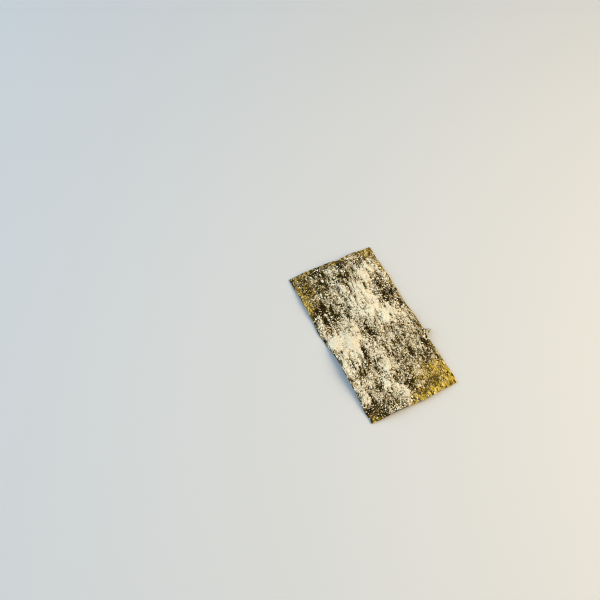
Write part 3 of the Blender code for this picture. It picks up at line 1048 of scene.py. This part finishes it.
class SEAWEED_OT_grains(bpy.types.Operator):
    """Add the fine grains of seasoning"""

    bl_idname = "seaweed.grains"
    bl_label = "Fine Grains"

    def execute(self, context):
        powder = context.scene.seaweed_powder
        form = form_of(context)
        places = scattered(
            form, powder.grains, powder.grain_small, powder.grain_large, spacing=0.85,
            chance=lambda across, down: (
                GRAIN_CHANCE[0] + GRAIN_CHANCE[1] * hump(form.cover(across, down), 0.0, GRAIN_COVER)
                + GRAIN_CHANCE[2] * form.gold(across, down)
            ), seed=31,
        )
        lumps = rough_lumps(10, subdivisions=1, waves=2.6, roughness=1.1, seed_step=5.7)
        add_grains(
            "powder_grains", form, powder, lumps, places,
            lengths=(0.8, 2.4), heights=(0.5, 0.9), lean=1.0, bite=0.55, seed=32,
        )
        return {"FINISHED"}


class SEAWEED_OT_dust(bpy.types.Operator):
    """Add the dust that lies even where there is hardly any seasoning"""

    bl_idname = "seaweed.dust"
    bl_label = "Dust"

    def execute(self, context):
        powder = context.scene.seaweed_powder
        form = form_of(context)
        places = scattered(
            form, powder.dust, powder.dust_small, powder.dust_large, spacing=0.7,
            chance=lambda across, down: (
                DUST_CHANCE[0] + DUST_CHANCE[1] * hump(form.cover(across, down), 0.0, DUST_COVER)
            ), seed=41,
        )
        lumps = rough_lumps(6, subdivisions=1, waves=2.6, roughness=1.0, seed_step=8.3)
        add_grains(
            "powder_dust", form, powder, lumps, places,
            lengths=(1.0, 2.6), heights=(0.5, 0.8), lean=1.0, bite=0.4, seed=42,
        )
        return {"FINISHED"}


class SEAWEED_OT_stage(bpy.types.Operator):
    """Add the floor, the lights and the camera"""

    bl_idname = "seaweed.stage"
    bl_label = "Stage"

    def execute(self, context):
        stage = context.scene.seaweed_stage
        add_floor(stage)
        add_lights(stage)
        add_camera(stage)
        context.scene.view_settings.view_transform = "Standard"
        context.scene.cycles.filter_width = stage.filter_width
        context.scene.cycles.denoising_prefilter = "NONE"
        context.scene.cycles.denoising_input_passes = "RGB_ALBEDO"
        return {"FINISHED"}


def add_floor(stage):
    """A plain pale floor that fades into the backdrop far from the strip."""
    shape = bmesh.new()
    bmesh.ops.create_grid(shape, x_segments=1, y_segments=1, size=FLOOR_REACH)
    mesh = mesh_of(shape, "floor")
    material, tree, shader = new_material("floor")
    distance = vector_node(tree, "LENGTH", "Value", object_place(tree))
    far = range_node(tree, distance, *FAR_RANGE)
    fill_inputs(tree, shader, {
        "Base Color": mix_node(tree, far, stage.floor, BLACK),
        "Emission Color": mix_node(tree, far, BLACK, stage.backdrop), "Emission Strength": 1.0,
        "Roughness": 0.9, "Specular IOR Level": 0.1,
    })
    mesh.materials.append(material)
    floor = new_object("floor", mesh)


def add_area_light(name, place, size, colour, power):
    """A soft square light at a place, aimed at the strip."""
    data = bpy.data.lights.new(name, "AREA")
    data.shape = "SQUARE"
    data.size = size
    data.color = colour
    data.energy = power
    light = new_object(name, data)
    light.location = place
    light.rotation_mode = "QUATERNION"
    light.rotation_quaternion = place.to_track_quat("Z", "Y")


def add_lights(stage):
    """Warm light from the right, cool light from the left, and a pale sky."""
    right = Vector((math.cos(stage.azimuth), math.sin(stage.azimuth), 0.0))
    forward = Vector((-math.sin(stage.azimuth), math.cos(stage.azimuth), 0.0))
    axes = Matrix((right, forward, (0.0, 0.0, 1.0))).transposed()
    key, fill = axes @ Vector(KEY_PLACE), axes @ Vector(FILL_PLACE)
    add_area_light("key_light", key, KEY_SIZE, stage.key_colour, stage.key_power)
    add_area_light("fill_light", fill, FILL_SIZE, stage.fill_colour, stage.fill_power)
    world = bpy.data.worlds.new("sky")
    world.use_nodes = True
    tree = world.node_tree
    light_path = tree.nodes.new("ShaderNodeLightPath")
    seen = mix_node(tree, light_path.outputs["Is Camera Ray"], stage.sky, stage.backdrop)
    tree.links.new(seen, tree.nodes["Background"].inputs["Color"])
    bpy.context.scene.world = world


def add_camera(stage):
    """The camera, at the photograph's angle to the strip."""
    turn, rise = stage.azimuth, stage.elevation
    back = Vector((math.sin(turn) * math.cos(rise), -math.cos(turn) * math.cos(rise), math.sin(rise)))
    data = bpy.data.cameras.new("camera")
    data.lens = stage.lens
    data.sensor_width = SENSOR_WIDTH
    camera = new_object("camera", data)
    camera.location = back * stage.distance
    camera.rotation_mode = "QUATERNION"
    aim = Vector((*stage.aim, 0.0))
    camera.rotation_quaternion = (aim - camera.location).to_track_quat("-Z", "Y")
    bpy.context.scene.camera = camera


class SEAWEED_PT_panel(bpy.types.Panel):
    """The strip's pieces and their settings."""

    bl_label = "Seaweed Strip"
    bl_idname = "SEAWEED_PT_panel"
    bl_space_type = "VIEW_3D"
    bl_region_type = "UI"
    bl_category = "Seaweed"

    def draw(self, context):
        for operator in OPERATORS:
            self.layout.operator(operator.bl_idname)
        for settings in (
            context.scene.seaweed_strip, context.scene.seaweed_powder, context.scene.seaweed_stage
        ):
            box = self.layout.box()
            for name in settings.__annotations__:
                box.prop(settings, name)


OPERATORS = (
    SEAWEED_OT_sheet, SEAWEED_OT_crust, SEAWEED_OT_clumps, SEAWEED_OT_crumbs, SEAWEED_OT_grains,
    SEAWEED_OT_dust, SEAWEED_OT_stage,
)
CLASSES = (StripSettings, PowderSettings, StageSettings, *OPERATORS, SEAWEED_PT_panel)


def register():
    """Registers the classes and adds their settings to the scene."""
    for item in CLASSES:
        bpy.utils.register_class(item)
    bpy.types.Scene.seaweed_strip = PointerProperty(type=StripSettings)
    bpy.types.Scene.seaweed_powder = PointerProperty(type=PowderSettings)
    bpy.types.Scene.seaweed_stage = PointerProperty(type=StageSettings)


def unregister():
    """Takes the settings and the classes away again."""
    del bpy.types.Scene.seaweed_stage
    del bpy.types.Scene.seaweed_powder
    del bpy.types.Scene.seaweed_strip
    for item in reversed(CLASSES):
        bpy.utils.unregister_class(item)


def main():
    """Builds the pieces and the stage."""
    register()
    bpy.ops.seaweed.sheet()
    bpy.ops.seaweed.crust()
    bpy.ops.seaweed.clumps()
    bpy.ops.seaweed.crumbs()
    bpy.ops.seaweed.grains()
    bpy.ops.seaweed.dust()
    bpy.ops.seaweed.stage()


if __name__ == "__main__":
    main()
